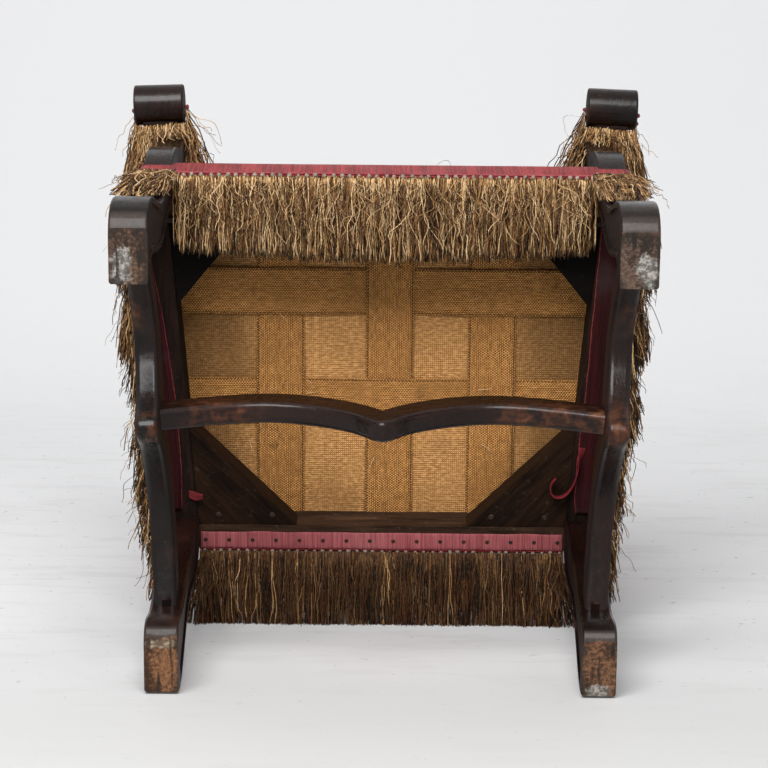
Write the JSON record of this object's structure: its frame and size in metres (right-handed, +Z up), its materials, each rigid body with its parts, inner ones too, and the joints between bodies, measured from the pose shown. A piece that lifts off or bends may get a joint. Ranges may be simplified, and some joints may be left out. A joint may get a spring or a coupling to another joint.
{
  "type": "armchair",
  "caption": "Baroque open armchair on sheep-bone legs with cusped stretchers, scrolled arms, stuffed silk seat and back, and swinging thread fringes.",
  "frame": {"origin": "middle of the bounding box at the floor, under the seat", "axes": "+Z up from the soles, -Y to the chair's front, +X to the right of the picture and of the front view"},
  "size_m": [0.7008, 0.7179, 1.1013],
  "materials": {
    "dark_wood": "old dark stain under worn wax, semi-gloss",
    "rough_wood": "rough sawn, dusty, matte",
    "block_wood": "dark stained, matte",
    "iron": "dark hand-cut tacks",
    "girth_web": "jute herringbone",
    "hessian": "open plain jute",
    "stuffing": "fibre under calico",
    "red_silk": "ribbed silk, soft sheen",
    "lining_silk": "faded ribbed silk",
    "braid": "knotted thread heading",
    "fringe": "mixed straw, rust and dark threads"
  },
  "bodies": {
    "chair": {"front_leg_left": "dark_wood", "front_leg_right": "dark_wood", "rear_post_left": "dark_wood", "rear_post_right": "dark_wood", "side_stretcher_left": "dark_wood", "side_stretcher_right": "dark_wood", "cross_stretcher": "dark_wood", "armrest_left": "dark_wood", "armrest_right": "dark_wood", "arm_support_left": "dark_wood", "arm_support_right": "dark_wood", "joint_pegs": "dark_wood", "front_rail": "rough_wood", "rear_rail": "rough_wood", "side_rail_left": "rough_wood", "side_rail_right": "rough_wood", "back_bottom_rail": "rough_wood", "back_top_rail": "rough_wood", "corner_block_front_left": "block_wood", "corner_block_front_right": "block_wood", "corner_block_rear_left": "block_wood", "corner_block_rear_right": "block_wood", "corner_block_nails": "iron", "webbing_tacks": "iron", "rear_strip_tacks": "iron", "webbing_lengthwise": "girth_web", "webbing_crosswise": "girth_web", "seat_hessian": "hessian", "back_hessian": "hessian", "seat_stuffing": "stuffing", "back_stuffing": "stuffing", "arm_pad_left": "stuffing", "arm_pad_right": "stuffing", "seat_cover": "red_silk", "back_cover": "red_silk", "outside_back_cover": "red_silk", "arm_cover_left": "red_silk", "arm_cover_right": "red_silk", "side_turnunder_left": "lining_silk", "side_turnunder_right": "lining_silk", "rear_tacking_strip": "lining_silk", "front_braid": "braid", "rear_braid": "braid", "side_braid_left": "braid", "side_braid_right": "braid", "side_fringe_left": "fringe", "side_fringe_right": "fringe", "corner_fringe": "fringe", "arm_fringe_left": "fringe", "arm_fringe_right": "fringe"},
    "front_fringe": {"front_fringe": "fringe"},
    "rear_fringe": {"rear_fringe": "fringe"}
  },
  "joints": [
    {"name": "front_fringe_swing", "type": "hinge", "parent": "chair", "child": "front_fringe", "pos_m": [0, -0.3009, 0.3505], "axis": [-1, 0, 0], "range_deg": [0, 83.3]},
    {"name": "rear_fringe_swing", "type": "hinge", "parent": "chair", "child": "rear_fringe", "pos_m": [0, 0.1839, 0.3505], "axis": [-1, 0, 0], "range_deg": [0, 83.3]}
  ]
}
